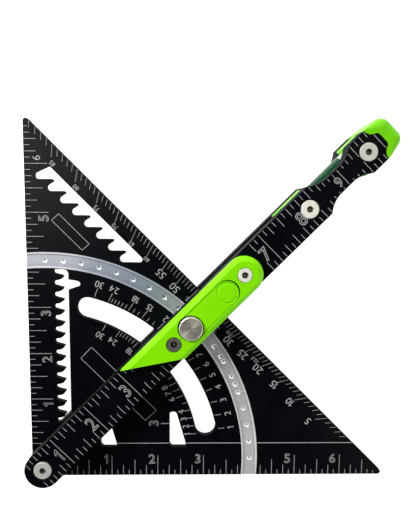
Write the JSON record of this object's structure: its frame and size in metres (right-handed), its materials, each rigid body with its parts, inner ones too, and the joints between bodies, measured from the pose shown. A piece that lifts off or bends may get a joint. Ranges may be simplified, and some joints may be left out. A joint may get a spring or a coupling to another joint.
{
  "type": "folding rafter square",
  "caption": "Black triangular layout plate with scribing slots and a detent arc, and a two-blade ruler arm that pivots at its corner, with a green lock and level.",
  "frame": {"origin": "on the pivot axis, in the plane of the arm's flat back face", "axes": "+X along one ruled leg of the plate, +Y along the other, +Z from the back face towards the lock's knob"},
  "size_m": [0.1941, 0.1941, 0.0364],
  "materials": {
    "black_anodised": "satin black hard anodised aluminium, laser-etched markings",
    "bare_aluminium": "turned bare aluminium",
    "bronze": "machined",
    "plated_steel": "nickel plated, satin",
    "spring_steel": "plain",
    "brushed_knob": "radially brushed face",
    "black_nylon": "matte",
    "green_plastic": "moulded, satin gloss",
    "green_metal": "lime green anodised, satin",
    "dark_screw": "black oxide",
    "vial_acrylic": "polished clear acrylic, green tint",
    "vial_liquid": "green spirit",
    "vial_plug": "translucent"
  },
  "bodies": {
    "square": {"square_plate": "black_anodised", "detent_band": "bare_aluminium", "pivot_bushing": "bronze"},
    "arm": {"front_blade": "black_anodised", "back_blade": "black_anodised", "pivot_screw": "plated_steel", "pivot_barrel_nut": "plated_steel", "pivot_wave_washer": "spring_steel", "front_pivot_spacer": "black_nylon", "back_pivot_spacer": "black_nylon", "inner_level_block": "green_plastic", "end_cap": "green_plastic", "level_vial": "vial_acrylic", "vial_liquid": "vial_liquid", "vial_plug": "vial_plug", "end_screws": "plated_steel", "end_barrel_nuts": "plated_steel", "lock_housing": "green_metal", "lock_front_screw": "dark_screw", "lock_rear_screw": "plated_steel", "lever_pin": "spring_steel", "plunger_bushing": "bronze", "plunger_spring": "spring_steel"},
    "lever": {"release_lever": "green_metal"},
    "plunger": {"plunger_knob": "brushed_knob", "plunger_stem": "spring_steel", "plunger_clip": "spring_steel"}
  },
  "joints": [
    {"name": "arm_pivot", "type": "hinge", "parent": "square", "child": "arm", "pos_m": [0, 0, 0.01429], "axis": [0, 0, 1], "range_deg": [-45, 45]},
    {"name": "lever_press", "type": "hinge", "parent": "arm", "child": "lever", "pos_m": [0.08726, 0.08726, 0.03143], "axis": [-0.7071, 0.7071, 0], "range_deg": [0, 8.5], "stiffness_Nm_per_rad": 0.0001, "springref_deg": -34.38},
    {"name": "plunger_lift", "type": "slide", "parent": "arm", "child": "plunger", "axis": [0, 0, 1], "range_m": [0, 0.00185], "stiffness_N_per_m": 400, "springref_m": -0.002, "deforming": ["plunger_spring"]}
  ],
  "couplings": [
    {"joint": "lever_press", "follows": "plunger_lift", "rad_per_m": 78.74}
  ]
}
